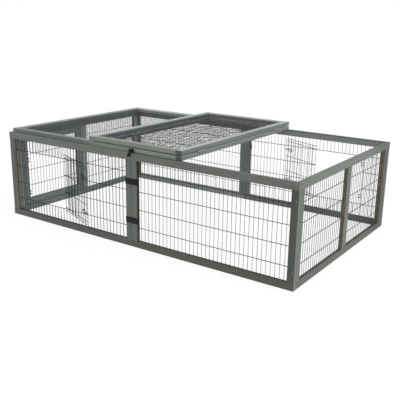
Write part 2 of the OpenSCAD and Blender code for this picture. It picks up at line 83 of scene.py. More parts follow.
# Places of the small hardware
CORNER_SCREW_Z, CORNER_SCREW_L = (0.081, 0.399), 0.044
END_HINGE_Z, END_LEAF_T = (0.110, 0.370), 0.002
ROOF_HINGE_X, ROOF_HINGE_Y, ROOF_LEAF_T = -0.295, (-0.375, 0.375), 0.0012
CLIP_Z, CLIP_HALF_H, CLIP_T, CLIP_REACH = (0.1395, 0.3390), 0.015, 0.003, 0.0065


# ---------- material helpers ----------

class Nodes:
    """The node tree of a world or a material, built one line at a time. A value is a number, a colour or
    the output of another node."""

    def __init__(self, owner):
        owner.use_nodes = True
        self.tree = owner.node_tree

    def put(self, socket, value):
        if hasattr(value, "is_output"):
            self.tree.links.new(value, socket)
        elif isinstance(value, tuple) and len(value) == 3 and len(socket.default_value) == 4:
            socket.default_value = (*value, 1.0)
        else:
            socket.default_value = value

    def add(self, kind, inputs=(), **props):
        node = self.tree.nodes.new(kind)
        for key, value in props.items():
            setattr(node, key, value)
        for key, value in dict(inputs).items():
            self.put(node.inputs[key], value)
        return node

    def math(self, op, a, b=0.0, c=0.0):
        return self.add("ShaderNodeMath", {0: a, 1: b, 2: c}, operation=op).outputs[0]

    def ramp(self, fac, stops):
        node = self.add("ShaderNodeValToRGB", {0: fac})
        elements = node.color_ramp.elements
        while len(elements) < len(stops):
            elements.new(0.5)
        for element, (position, colour) in zip(elements, stops):
            element.position = position
            element.color = (*colour, 1.0)
        return node.outputs[0]

    def mix(self, fac, a, b, mode="MIX"):
        return self.add("ShaderNodeMix", {0: fac, 6: a, 7: b}, data_type="RGBA", blend_type=mode).outputs[2]

    def coords(self, scale=(1, 1, 1), shift=(0, 0, 0)):
        at = self.add("ShaderNodeTexCoord").outputs["Object"]
        return self.add("ShaderNodeMapping", {"Vector": at, "Location": shift, "Scale": scale}).outputs[0]

    def noise(self, vector, scale, detail=4.0, rough=0.55, distortion=0.0):
        return self.add("ShaderNodeTexNoise", {"Vector": vector, "Scale": scale, "Detail": detail,
                                               "Roughness": rough, "Distortion": distortion}).outputs[0]

    def seen(self):
        """1 for a ray that shows in the picture: the camera's own, one by reflection or one through glass."""
        ray = self.add("ShaderNodeLightPath").outputs
        shown = self.math("MAXIMUM", ray["Is Camera Ray"], ray["Is Glossy Ray"])
        return self.math("MAXIMUM", shown, ray["Is Transmission Ray"])


class Material(Nodes):
    """A new material with its main shader."""

    def __init__(self, name):
        self.mat = bpy.data.materials.new(name)
        super().__init__(self.mat)
        self.shader = self.tree.nodes["Principled BSDF"]

    def bump(self, height, strength, distance, under=None):
        node = self.add("ShaderNodeBump", {"Height": height, "Strength": strength, "Distance": distance})
        if under is not None:
            self.put(node.inputs["Normal"], under)
        return node.outputs[0]

    def out(self, key, value):
        self.put(self.shader.inputs[key], value)


def lin(*colour):
    """The linear colour of one written as 0 to 255 sRGB."""
    parts = [c / 255.0 for c in colour]
    return tuple(c / 12.92 if c <= 0.04045 else ((c + 0.055) / 1.055) ** 2.4 for c in parts)


def times(colour, *factors):
    """A colour times others, part by part, up to white."""
    for factor in factors:
        colour = tuple(a * b for a, b in zip(colour, factor))
    return tuple(min(1.0, c) for c in colour)


def grey(value):
    return (value, value, value)


# Grey-green paint over softwood, and the wood where it is bare
PAINT = lin(113, 119, 113)
PAINT_DARK = lin(97, 101, 93)
PAINT_WARMTH = (1.03, 0.99, 0.92)
BARE = lin(104, 95, 83)
BARE_DARK = lin(66, 54, 44)


def timber(name, axis, seed, light_tone, shades=(), bare=()):
    """Painted softwood with its grain along an axis, its paint times the tone given: a factor of painted light
    and shade for the whole timber. shades and bare hold pairs of places and a colour: a place is (axis, at,
    half its width); in shades the colour is a factor on the paint that paints light or shade there, in bare that
    of bare wood."""
    n = Material(name)
    along = "xyz".index(axis)

    def stretched(length, across, shift):
        """Coordinates long in the grain's direction, moved by the seed so that no two timbers are alike."""
        scale = tuple(length if k == along else across for k in range(3))
        return n.coords(scale, tuple(seed * s for s in shift))

    grain_at = stretched(1.1, 26.0, (3.7, 1.9, 5.3))
    grain = n.noise(grain_at, 1.0, 6.0, 0.62, 0.6)
    fibre = n.noise(stretched(5.0, 190.0, (1.3, 7.1, 2.9)), 1.0, 3.0, 0.6)
    broad = n.noise(stretched(1.0, 1.0, (2.3, 4.1, 6.7)), 4.5, 3.0, 0.55)

    col = n.ramp(grain, [(0.28, times(PAINT_DARK, light_tone, grey(0.94))), (0.52, times(PAINT, light_tone)),
                         (0.78, times(PAINT, light_tone, grey(1.13)))])
    warm = times(times(PAINT, PAINT_WARMTH), light_tone)
    col = n.mix(n.ramp(broad, [(0.42, grey(0.0)), (0.70, grey(1.0))]), col, warm)
    streak = n.ramp(fibre, [(0.30, grey(0.84)), (0.55, grey(1.0))])
    col = n.mix(0.60, col, streak, "MULTIPLY")
    knots = n.add("ShaderNodeTexVoronoi", {"Vector": stretched(3.0, 9.0, (9.1, 0.7, 3.3)), "Scale": 1.0})
    knot = n.ramp(knots.outputs["Distance"], [(0.035, grey(1.0)), (0.085, grey(0.0))])
    col = n.mix(n.math("MULTIPLY", knot, 0.45), col, times(PAINT_DARK, light_tone, grey(0.55)))

    xyz = n.add("ShaderNodeSeparateXYZ", {0: n.add("ShaderNodeTexCoord").outputs["Object"]}).outputs

    def where(places):
        mask = None
        for ax, at, half in places:
            near = n.math("COMPARE", xyz["xyz".index(ax)], at, half)
            mask = near if mask is None else n.math("MULTIPLY", mask, near)
        return mask

    for places, factor in shades:
        col = n.mix(1.0, col, n.mix(where(places), grey(1.0), factor), "MULTIPLY")
    rough = n.math("MULTIPLY_ADD", grain, 0.16, 0.46)
    if bare:
        ragged = n.math("GREATER_THAN", n.noise(grain_at, 2.3, 4.0, 0.6), 0.36)
        wood = n.ramp(grain, [(0.30, grey(0.66)), (0.55, grey(1.0)), (0.80, (1.0, 0.98, 0.94))])
        for places, colour in bare:
            mask = n.math("MULTIPLY", where(places), ragged)
            col = n.mix(mask, col, n.mix(1.0, wood, colour, "MULTIPLY"))
            rough = n.math("MAXIMUM", rough, n.math("MULTIPLY", mask, 0.85))
    n.out("Base Color", col)
    n.out("Roughness", rough)
    n.out("Specular IOR Level", 0.42)
    n.out("Normal", n.bump(fibre, 0.30, 0.0007, n.bump(grain, 0.28, 0.0014)))
    return n.mat


def wire_metal(name, colour, rough, metallic, scale=180.0, spread=0.35, specular=0.5):
    """Steel wire or plate, its colour and its roughness spotted."""
    n = Material(name)
    at = n.coords()
    spots = n.noise(at, scale, 4.0, 0.6)
    fine = n.noise(at, scale * 6, 3.0, 0.6)
    n.out("Base Color", n.ramp(spots, [(0.30, times(colour, grey(1 - spread))), (0.55, colour),
                                       (0.78, times(colour, grey(1 + spread)))]))
    n.out("Metallic", metallic)
    n.out("Roughness", n.math("MULTIPLY_ADD", fine, 0.25, rough - 0.12))
    n.out("Specular IOR Level", specular)
    n.out("Normal", n.bump(fine, 0.15, 0.0002))
    return n.mat


WALL_WIRE = wire_metal("wall_wire", lin(17, 19, 19), 0.66, 0.05)
NET = wire_metal("net_wire", lin(60, 62, 66), 0.55, 0.30)
DOOR_WIRE = wire_metal("door_wire", lin(15, 17, 17), 0.62, 0.05)
ZINC = wire_metal("zinc_plate", lin(168, 166, 152), 0.42, 0.55, 60.0, 0.16)
# Screw heads in two copies of one plating: a lit one, and a darker one that is painted shade on the heads at the
# left end
LIT_SCREWS = wire_metal("lit_screws", lin(136, 138, 137), 0.35, 0.55, 60.0, 0.10)
SHADED_SCREWS = wire_metal("shaded_screws", lin(88, 94, 88), 0.60, 0.20, 60.0, 0.15)
BLACK = wire_metal("black_steel", lin(17, 18, 17), 0.62, 0.0, 90.0, 0.30, 0.25)


def coat(node, mat):
    """Gives one of the part's own solids its material."""
    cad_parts[node].data.materials[0] = mat


# ---------- mesh helpers ----------

def make(name, shape, mat, body, node=None, smooth=True):
    """A piece that moves with a body and may stand in for one of the part's solids."""
    verts, faces = shape
    me = bpy.data.meshes.new(name)
    me.from_pydata([tuple(v) for v in verts], [], faces)
    me.validate()
    me.update()
    for p in me.polygons:
        p.use_smooth = smooth
    ob = bpy.data.objects.new(name, me)
    bpy.context.scene.collection.objects.link(ob)
    me.materials.append(mat)
    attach(ob, body)
    if node:
        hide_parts(node)
    return ob


def skin(rings, sides):
    """The faces between rings of vertices that follow each other, and those that close both ends."""
    faces = []
    for k in range(rings - 1):
        for s in range(sides):
            a, b = k * sides + s, k * sides + (s + 1) % sides
            faces.append((a, b, b + sides, a + sides))
    faces.append(tuple(range(sides))[::-1])
    faces.append(tuple((rings - 1) * sides + s for s in range(sides)))
    return faces


def tube(path, r, sides=8):
    """A round wire along a path, as its vertices and faces."""
    pts = [Vector(p) for p in path]
    verts = []
    before = None
    for p, a, b in zip(pts, pts[:1] + pts, pts[1:] + pts[-1:]):
        t = (b - a).normalized()
        if before is None:
            ref = Vector((0, 0, 1)) if abs(t.z) < 0.9 else Vector((1, 0, 0))
            u = t.cross(ref).normalized()
        else:
            u = (before - t * before.dot(t)).normalized()
        before = u
        w = t.cross(u)
        for s in range(sides):
            ang = 2 * math.pi * (s + 0.5) / sides
            verts.append(p + (u * math.cos(ang) + w * math.sin(ang)) * r)
    return verts, skin(len(pts), sides)


def join(shapes):
    """Several shapes as one."""
    verts, faces = [], []
    for v, f in shapes:
        base = len(verts)
        verts += v
        faces += [tuple(i + base for i in face) for face in f]
    return verts, faces


def moved(shape, m):
    """A shape in another place; a mirrored one keeps its faces outward."""
    verts, faces = shape
    flip = m.to_3x3().determinant() < 0
    return [m @ Vector(p) for p in verts], [face[::-1] for face in faces] if flip else faces


def place(x, y, z, turn=0.0):
    """A place, turned about Z by degrees."""
    return Matrix.Translation((x, y, z)) @ Matrix.Rotation(math.radians(turn), 4, "Z")


def steps(start, stop, length):
    """Even steps of about a length from start to stop, at least two."""
    n = max(2, int((stop - start) / length))
    return [start + (stop - start) * k / n for k in range(n + 1)]


def arc(cx, cy, r, start, stop, n):
    """Points on an arc between two angles in degrees, in n steps."""
    angles = [math.radians(start + (stop - start) * k / n) for k in range(n + 1)]
    return [(cx + r * math.cos(angle), cy + r * math.sin(angle)) for angle in angles]


def rounded(path, radius, n=5):
    """A polyline with its corners rounded in n steps."""
    pts = [Vector(p) for p in path]
    out = [pts[0]]
    for a, b, c in zip(pts, pts[1:], pts[2:]):
        ab, cb = (a - b), (c - b)
        cut = min(radius, ab.length * 0.49, cb.length * 0.49)
        p, q = b + ab.normalized() * cut, b + cb.normalized() * cut
        for k in range(n + 1):
            t = k / n
            out.append(p.lerp(b, t).lerp(b.lerp(q, t), t))
    out.append(pts[-1])
    return out


# ---------- timbers ----------

# How far a place goes on either side of its plane, and how deep an edge is brown from the wall's outer face
SKIN, THIN_SKIN, TOP_SKIN = 0.0012, 0.0008, 0.001
BARE_DEPTH, BARE_DEPTH_RIGHT = 0.0070, 0.0045
# Painted shade on the ledges in the openings: the top of a bottom rail and the underside of a top rail
LEDGE_PAINTED_SHADE = (0.62, 0.62, 0.60)


def face(axis, at, half=SKIN):
    """The place on a timber near a plane across an axis. Two such places added are where both hold."""
    return ((axis, at, half),)


def edges(axis, places, through, outer, light=BARE, dark=BARE_DARK, depth=BARE_DEPTH):
    """Bare inner edges of stiles: light behind the mesh, brown towards the wall's outer face."""
    out = []
    for at in places:
        out.append((face(axis, at), light))
        out.append((face(axis, at) + face(through, outer, depth), dark))
    return out


TOP, FAR_END = face("z", WALL_H, TOP_SKIN), face("x", HALF_L, THIN_SKIN)
LEDGES = [(face("z", RAIL), LEDGE_PAINTED_SHADE), (face("z", WALL_H - RAIL), LEDGE_PAINTED_SHADE)]

# Where the stiles' inner edges lie along each wall, and their bare colours where these aren't the usual ones:
# painted light and shade, lighter on the front left wall and the right end, darker on the front right wall
STILE_EDGES = {
    "front_left": (-HALF_L + CORNER, -RAIL),
    "front_right": (RAIL, HALF_L - RAIL),
    "back_left": (-HALF_L + RAIL, -RAIL),
    "back_right": (RAIL, HALF_L - CORNER),
    "right_end": (NEAR_BAY_Y, NEAR_BAY_Y + BAY_W, FAR_BAY_Y, FAR_BAY_Y + BAY_W),
    "left_end": (-NEAR_BAY_Y, -NEAR_BAY_Y - BAY_W, -FAR_BAY_Y, -FAR_BAY_Y - BAY_W),
}
BARE_EDGES = {
    "front_left": (lin(122, 115, 104), lin(108, 100, 88)),
    "front_right": (lin(58, 50, 42), BARE_DARK),
    "right_end": (lin(132, 121, 104), lin(86, 70, 54), BARE_DEPTH_RIGHT),
}

# Factors on the paint that give the photo's light: one for each timber, and more for places on some of them
TONES = {
    "front_left_top_rail": (0.88, 0.87, 0.88), "front_left_bottom_rail": (0.54, 0.52, 0.51),
    "front_right_top_rail": (0.83, 0.80, 0.82), "front_right_bottom_rail": (0.515, 0.47, 0.44),
    "back_left_top_rail": (0.88, 0.92, 1.00), "back_left_bottom_rail": (1.48, 1.52, 1.66),
    "back_right_top_rail": (1.17, 1.19, 1.30), "back_right_bottom_rail": (0.81, 0.83, 0.92),
    "right_end_rails": (0.94, 0.985, 0.975), "left_end_rails": (0.80, 0.88, 1.06),
    "front_left_stiles": (0.66, 0.71, 0.71), "front_right_stiles": (0.71, 0.76, 0.775),
    "back_left_stiles": (0.87, 0.88, 1.02), "back_right_stiles": (0.87, 0.88, 1.02),
    "right_end_stiles": (0.83, 0.83, 0.81), "left_end_stiles": (1.42, 1.46, 1.58),
}
SHADES = {
    "front_right_top_rail": [(TOP, (0.54, 0.60, 0.60)), (FAR_END, (1.15, 1.20, 1.20))],
    "front_right_bottom_rail": [(FAR_END, (1.9, 2.1, 2.2))],
    "back_right_top_rail": [(TOP, (0.20, 0.21, 0.22)), (FAR_END, (0.30, 0.32, 0.34)),
                            (face("z", WALL_H, 0.006), (0.70, 0.74, 0.82))],
    "back_left_top_rail": [(TOP, (0.35, 0.36, 0.37))],
    "right_end_rails": [(TOP, (0.79, 0.72, 0.735)), (face("z", 0.0, 0.1), (0.67, 0.625, 0.58)),
                        (face("z", RAIL), (1.45, 1.40, 1.25))]
                       + [(face("y", HALF_W, far), grey(0.87)) for far in (0.30, 0.22, 0.14)],
    "front_right_stiles": [(face("x", HALF_L, 0.05), (0.56, 0.525, 0.50)), (FAR_END, (2.2, 2.4, 2.45))],
    "right_end_stiles": [(face("y", 0.0, 0.1), (0.90, 0.94, 0.97)),
                         (face("y", END_W / 2, 0.1), (0.44, 0.46, 0.46))],
    "left_end_stiles": [(face("y", END_W / 2, 0.1), grey(1.25)),
                        (face("y", -END_W / 2, 0.1), (0.78, 0.78, 0.80))],
}

seed = 0
for wall, places in STILE_EDGES.items():
    along, through, outer = ("y", "x", HALF_L) if wall.endswith("_end") else ("x", "y", HALF_W)
    if wall.startswith(("left", "front")):
        outer = -outer
    for rail in (["_rails"] if along == "y" else ["_top_rail", "_bottom_rail"]):
        seed += 1
        node = wall + rail
        coat(node, timber(node + "_paint", along, seed, TONES[node], LEDGES + SHADES.get(node, [])))
    seed += 1
    node = wall + "_stiles"
    coat(node, timber(node + "_paint", "z", seed, TONES[node], SHADES.get(node, []),
                      edges(along, places, through, outer, *BARE_EDGES.get(wall, ()))))

# The end door's timbers: factors of painted light and shade, and painted shade on the ledge of the bottom rail
coat("end_door_rails", timber("end_door_rails_paint", "y", 31, (0.83, 0.885, 1.02),
                              [(face("z", END_DOOR_Z + RAIL), LEDGE_PAINTED_SHADE)]))
coat("end_door_stiles", timber(
    "end_door_stiles_paint", "z", 32, (0.86, 0.89, 0.98), (),
    edges("y", (END_DOOR_Y + RAIL, END_DOOR_Y + END_DOOR_W - RAIL), "x", -HALF_L)))

# For each roof panel: factors of painted light and shade on its side and cross rails, the painted sheen on their
# tops, and the painted light on the back rail's inner edge
ROOF = {
    "left": ((1.00, 1.00, 1.06), (0.85, 0.85, 0.97), (1.60, 1.65, 1.75), (1.09, 1.10, 1.10), (2.75, 2.75, 2.64)),
    "middle": ((1.09, 1.11, 1.18), (1.38, 1.40, 1.46), (2.12, 2.18, 2.38), (1.0, 1.0, 1.09), (1.45, 1.3, 1.3)),
    "right": ((1.03, 1.00, 1.06), (1.21, 1.19, 1.16), (2.12, 2.18, 2.38), (1.0, 1.0, 1.09), (1.45, 1.3, 1.3)),
}
for k, (panel, (side_tone, cross_tone, side_top, cross_top, inner)) in enumerate(ROOF.items()):
    top = face("z", 2 * FOLD_Z - WALL_H if panel == "right" else ROOF_TOP, TOP_SKIN)
    front_end = face("y", -ROOF_D / 2, THIN_SKIN) + face("x", PANEL_W / 2, 0.04)
    coat("roof_%s_side_rails" % panel, timber("roof_%s_side_paint" % panel, "y", 40 + k, side_tone, [
        (top, side_top), (front_end, (0.40, 0.43, 0.38))]))
    # The back rail's top takes more painted sheen
    coat("roof_%s_cross_rails" % panel, timber("roof_%s_cross_paint" % panel, "x", 50 + k, cross_tone, [
        (top, cross_top), (top + face("y", ROOF_D / 2, 0.05), (1.97, 1.97, 2.14)),
        (face("y", ROOF_D / 2 - RAIL), inner)]))


# ---------- wall meshes: level wires outside, upright wires inside, welded where they cross ----------

# Radii of the upright and the level wires, as dark as the photo shows each wall's mesh
FRONT_R = (1.55 * MM, 1.65 * MM)
PLAIN_R = (1.02 * MM, 1.60 * MM)
END_R = (1.06 * MM, 1.70 * MM)
LEFT_R = (1.15 * MM, 1.50 * MM)
HINGE_WIRE_R = 1.2 * MM

# The wires' middles off the mesh's plane, their ends in the grooves, and how near the timber one may stand
UP_OFF, LEVEL_OFF = 0.75 * MM, 0.45 * MM
IN_GROOVE = GROOVE - 0.0003
EDGE_CLEAR = 0.0036

# At a doorway: how far wires reach over the ones that they are welded to, and what counts as the same place
UP_OVER, LEVEL_OVER, SAME = 0.0012, 0.0016, 0.001

# How far the wires stray, in mm: an upright one as a whole and along its length, a level one along its length
UP_SHIFT, UP_WAVE, LEVEL_WAVE = 0.08, 0.06, 0.12


def columns(first, width):
    """The upright wires in steps from a first one, both ways, clear of the timber at the sides."""
    low = -math.ceil(first / PITCH)
    high = math.ceil((width - first) / PITCH)
    return [x for x in (first + i * PITCH for i in range(low, high + 1)) if EDGE_CLEAR < x < width - EDGE_CLEAR]


def welded(width, height, ups, levels, radii, rng, doorway=None):
    """A mesh in the plane Y 0, outside at -Y, its corner at the origin, its wires' ends in the grooves. A
    doorway lies between the two upright wires at its sides, and its door hangs on the second one."""
    up_r, level_r = radii
    low_end, high_end, left_end, right_end = -IN_GROOVE, height + IN_GROOVE, -IN_GROOVE, width + IN_GROOVE
    wires = []
    for x in ups:
        spans = [(low_end, high_end)]
        if doorway and doorway[0] + SAME < x < doorway[1] - SAME:
            spans = [(low_end, levels[0] + UP_OVER), (levels[3] - UP_OVER, high_end)]
        shift = rng.uniform(-UP_SHIFT, UP_SHIFT) * MM
        off, r = UP_OFF, up_r
        if doorway and abs(x - doorway[1]) < SAME:
            off, r = 0.0, min(up_r, HINGE_WIRE_R)
        for low, high in spans:
            wires.append(tube([(x + shift + UP_WAVE * MM * noise.noise(Vector((x * 40, z * 9, 1.7))), off, z)
                               for z in steps(low, high, 0.05)], r))
    for i, z in enumerate(levels):
        spans = [(left_end, right_end)]
        if doorway and i in (1, 2):
            spans = [(left_end, doorway[0] + LEVEL_OVER), (doorway[1] - LEVEL_OVER, right_end)]
        for left, right in spans:
            wires.append(tube([(x, -LEVEL_OFF, z + LEVEL_WAVE * MM * noise.noise(Vector((x * 7, z * 30, 4.1))))
                               for x in steps(left, right, 0.06)], level_r))
    return join(wires)


rng = random.Random(5)
half_turn = Matrix.Rotation(math.pi, 4, "Z")
flip_y = Matrix.Scale(-1, 4, (0, 1, 0))
long_w, wide_w = HALF_L - 2 * RAIL, HALF_L - CORNER - RAIL
door_x = HALF_L - CORNER - HINGE_X
doorway = (door_x - DOORWAY_W, door_x)
front_panel, back_panel = [welded(wide_w, OPEN_H, columns(door_x, wide_w), ROWS, radii, rng, doorway)
                           for radii in (FRONT_R, PLAIN_R)]
plain_panel = welded(long_w, OPEN_H, columns(long_w / 2 + PITCH / 2, long_w), ROWS, PLAIN_R, rng)
bay_panel, left_bay = [welded(BAY_W, OPEN_H, columns(BAY_W / 2 + PITCH / 2, BAY_W), ROWS, radii, rng)
                       for radii in (END_R, LEFT_R)]
clear_w, clear_h = END_DOOR_W - 2 * RAIL, END_DOOR_H - 2 * RAIL
door_levels = [clear_h / 2 + ROW_PITCH * i for i in (-1, 0, 1)]
end_door_panel = welded(clear_w, clear_h, columns(clear_w / 2 + PITCH / 2, clear_w), door_levels, LEFT_R, rng)

left_place = place(-HALF_L + CORNER, -WALL_Y, RAIL)
right_place = place(RAIL, -WALL_Y, RAIL)
near_bay, far_bay = [place(WALL_X, y, RAIL, 90) for y in (NEAR_BAY_Y, FAR_BAY_Y)]
end_door_place = place(-WALL_X, END_DOOR_Y + RAIL, END_DOOR_Z + RAIL, 90) @ flip_y
make("mesh_front_left", moved(front_panel, left_place), WALL_WIRE, "run", "front_left_mesh")
make("mesh_front_right", moved(plain_panel, right_place), WALL_WIRE, "run", "front_right_mesh")
make("mesh_back_right", moved(back_panel, half_turn @ left_place), WALL_WIRE, "run", "back_right_mesh")
make("mesh_back_left", moved(plain_panel, half_turn @ right_place), WALL_WIRE, "run", "back_left_mesh")
make("mesh_right_end", join([moved(bay_panel, near_bay), moved(bay_panel, far_bay)]), WALL_WIRE, "run",
     "right_end_mesh")
make("mesh_left_end", moved(left_bay, half_turn @ near_bay), WALL_WIRE, "run", "left_end_mesh")
make("mesh_end_door", moved(end_door_panel, end_door_place), WALL_WIRE, "end_door", "end_door_mesh")


# ---------- fine nets of the roof ----------

def fine_net(width, depth, seed_at, pitch, radius, crinkled):
    """A net in the plane Z 0, its corner at the origin, crinkled as a rolled net is."""
    sideways, sagging, off = 0.5 * MM, 1.2 * MM, 0.4 * MM
    fold_x, fold_y, held = 0.014, 0.042, 0.03
    long_step, short_step = 0.016, 0.004

    def wave(x, y):
        """How far the net is out of place at a point: none up or down at the timber that holds it."""
        slow = Vector((x * 3.1 + seed_at, y * 3.1 - seed_at, seed_at * 1.7))
        fold = Vector((x / fold_x - seed_at * 9, y / fold_y + seed_at * 5, seed_at * 0.6))
        free = max(0.0, min(1.0, min(x, width - x, y, depth - y) / held))
        return Vector((sideways * noise.noise(fold * 0.4), sideways * noise.noise(fold * 0.4 + Vector((5, 2, 9))),
                       free * (sagging * noise.noise(slow) + crinkled * noise.noise(fold))))

    def wire(points):
        return tube([p + wave(p.x, p.y) for p in points], radius, 4)

    def steps_over(length, step):
        length += 2 * IN_GROOVE
        n = int(length / step)
        return [-IN_GROOVE + length * k / n for k in range(n + 1)]

    def places(length):
        n = int(length / pitch)
        return [(length - n * pitch) / 2 + i * pitch for i in range(n + 1)]

    return join([wire([Vector((x, y, off)) for y in steps_over(depth, long_step)]) for x in places(width)]
                + [wire([Vector((x, y, -off)) for x in steps_over(width, short_step)]) for y in places(depth)])


# For each panel: its body, its middle in X and Z, its seed, and its net's pitch, wire radius and crinkling
net_w, net_d = PANEL_W - 2 * RAIL, ROOF_D - 2 * RAIL
net_z = WALL_H + ROOF_T / 2
for panel, body, x, z, seed_at, form in (
        ("left", "run", -PANEL_STEP, net_z, 1.3, (16.0 * MM, 0.56 * MM, 1.6 * MM)),
        ("middle", "roof_middle", 0.0, net_z, 2.9, (12.7 * MM, 0.46 * MM, 9.0 * MM)),
        ("right", "roof_right", 0.0, 2 * FOLD_Z - net_z, 4.7, (12.7 * MM, 0.46 * MM, 9.0 * MM))):
    net = moved(fine_net(net_w, net_d, seed_at, *form), Matrix.Translation((x - net_w / 2, -net_d / 2, z)))
    make("net_" + panel, net, NET, body, "roof_%s_mesh" % panel)


# ---------- wire doors, bolts and keepers ----------

# In the door's own frame the hinge wire is at the origin, the door lies along +X, and outside is -Y. The radii
# of loops are to the middle of their wire.
EYE_R, EYE_WIRE_R, EYE_TURN = 3.3 * MM, 1.75 * MM, 318
BAR_R, BAR_OVER = 1.5 * MM, 0.2 * MM
DOOR_UP_R, DOOR_UP_OUT, FIRST_UP_R = 1.2 * MM, 4.75 * MM, 1.1 * MM
GUIDE_R, GUIDE_WIRE_R, GUIDE_LEAN = 3.1 * MM, 1.0 * MM, 0.9 * MM
FOOT_FROM, FOOT_TO = -BOLT_OUT + 2.4 * MM, -4.0 * MM
BOLT_R, RING_R, NECK_L, BOLT_TIP = 1.95 * MM, 12.5 * MM, 7 * MM, DOOR_W + 1.5 * MM
KEEPER_R, KEEPER_GAP, KEEPER_OUT, KEEPER_HALF_H = 2.0 * MM, 3.0 * MM, 4.5 * MM, 8.1 * MM


def wire_door():
    """Bars that end in eyes round the hinge wire, and upright wires outside them."""
    wires = []
    for z in DOOR_ROWS:
        bar = [((DOOR_W + BAR_OVER) * (1 - k / 12), -EYE_R, z) for k in range(12)]
        eye = [(x, y, z) for x, y in arc(0, 0, EYE_R, -90, -90 - EYE_TURN, 18)]
        wires.append(tube(bar + eye, BAR_R))
        wires.append(tube(eye, EYE_WIRE_R))
    low, high = DOOR_ROWS[0] - DOOR_UP_R, DOOR_ROWS[-1] + DOOR_UP_R
    for i in range(1, 13):
        # the wire next to the hinge lies between the bars, clear of the wall when the door is wide open
        out, r = (EYE_R, FIRST_UP_R) if i == 1 else (DOOR_UP_OUT, DOOR_UP_R)
        wires.append(tube([(i * PITCH, -out, low + (high - low) * k / 6) for k in range(7)], r))
    return join(wires)


def bolt_guides():
    """Loops of wire round the bolts, each on a short foot against the door's last two upright wires."""
    wires = []
    for z in BOLT_ROWS:
        for x in (DOOR_W - PITCH, DOOR_W):
            loop = arc(-BOLT_OUT, z, GUIDE_R, 40, 380, 22)
            wires.append(tube([(x - GUIDE_LEAN + 2 * GUIDE_LEAN * k / len(loop), y, h)
                               for k, (y, h) in enumerate(loop)], GUIDE_WIRE_R))
            wires.append(tube([(x, FOOT_FROM, z), (x, FOOT_TO, z)], GUIDE_WIRE_R))
    return join(wires)


def bolt(z):
    """A rod with its end bent into a finger ring."""
    neck = RING_X + RING_R
    path = [(BOLT_TIP, z), (BOLT_TIP - 6 * MM, z), (neck + NECK_L, z), (neck + 0.6 * MM, z)]
    path += arc(RING_X, z, RING_R, 10, 352, 34)
    return tube(rounded([(x, -BOLT_OUT, h) for x, h in path], 2.5 * MM, 2), BOLT_R)


def keeper(z):
    """A staple on the doorway's far wire, round the place of the shut bolt."""
    near, far = BOLT_TIP + KEEPER_GAP, DOORWAY_W - 0.6 * MM
    out = -BOLT_OUT - KEEPER_OUT
    low, high = z - KEEPER_HALF_H, z + KEEPER_HALF_H
    path = [(far, 0, high), (near, 0, high), (near, out, high), (near, out, low), (near, 0, low), (far, 0, low)]
    return tube(rounded(path, 3.0 * MM, 4), KEEPER_R)


def front(angle):
    """The front door's place at an angle from shut; the back door's is its half turn."""
    return place(-HINGE_X, -WALL_Y, 0, angle) @ Matrix.Scale(-1, 4, (1, 0, 0))


for side, turn, opened in (("front", Matrix.Identity(4), FRONT_OPEN), ("back", half_turn, BACK_OPEN)):
    m = turn @ front(opened)
    make(side + "_door_wires", moved(wire_door(), m), DOOR_WIRE, side + "_door", side + "_wire_door")
    make(side + "_guide_loops", moved(bolt_guides(), m), DOOR_WIRE, side + "_door", side + "_bolt_guides")
    for level, z in zip(("lower", "upper"), BOLT_ROWS):
        make("%s_%s_bolt_wire" % (side, level), moved(bolt(z), m), DOOR_WIRE,
             "%s_bolt_%s" % (side, level), "%s_%s_bolt" % (side, level))
staples = [moved(keeper(z), m) for z in BOLT_ROWS for m in (front(0), half_turn @ front(0))]
make("keeper_staples", join(staples), DOOR_WIRE, "run", "bolt_keepers")


# ---------- screws, hinges, clips, button, latch ----------

def screw_head(r, h):
    """A domed head with a cross recess, its back in the plane Z 0."""
    rings, sides = 9, 32
    rim, cross_l, cross_half_w, cross_depth = 0.25 * h, 0.58 * r, 0.13 * r, 0.55 * h
    turns = [2 * math.pi * s / sides for s in range(sides)]
    verts = []
    for k in range(rings + 1):
        rr = r * (1 - k / rings)
        dome = h * math.sqrt(max(0.0, 1 - (rr / r) ** 2 * 0.86)) if k else rim
        for turn in turns:
            x, y = rr * math.cos(turn), rr * math.sin(turn)
            sunk = rr < cross_l and min(abs(x), abs(y)) < cross_half_w
            verts.append(Vector((x, y, dome - cross_depth if sunk else dome)))
    base = len(verts)
    verts += [Vector((r * math.cos(turn), r * math.sin(turn), 0)) for turn in turns]
    faces = []
    for k in range(rings):
        for s in range(sides):
            a, b = k * sides + s, k * sides + (s + 1) % sides
            faces.append((a, b, b + sides, a + sides))
    for s in range(sides):
        faces.append((base + s, base + (s + 1) % sides, (s + 1) % sides, s))
    faces.append(tuple(base + s for s in range(sides))[::-1])
    return verts, faces


def screw(r, h, at, normal, spin):
    """A head at a place, its back against the face with that normal, turned by spin degrees."""
    aim = Vector(normal).to_track_quat("Z", "Y").to_matrix().to_4x4()
    turn = Matrix.Rotation(math.radians(spin), 4, "Z")
    return moved(screw_head(r, h), Matrix.Translation(at) @ aim @ turn)


# Radii and heights of the heads
CORNER_HEAD, END_LEAF_HEAD, ROOF_LEAF_HEAD = (3.6 * MM, 1.6 * MM), (2.4 * MM, 0.8 * MM), (2.2 * MM, 0.7 * MM)
SHANK_R = 1.9 * MM

screws = []
spin = 0
for x in (-WALL_X, WALL_X):
    for z in CORNER_SCREW_Z:
        for s in (-1, 1):
            spin += 37
            screws.append(screw(*CORNER_HEAD, (x, s * HALF_W, z), (0, s, 0), spin))
            shank = [(x, s * (HALF_W - 0.0005), z), (x, s * (HALF_W - CORNER_SCREW_L), z)]
            screws.append(tube(shank, SHANK_R, 12))
corner_screws = make("corner_screw_heads", join(screws), LIT_SCREWS, "run", "corner_screws")
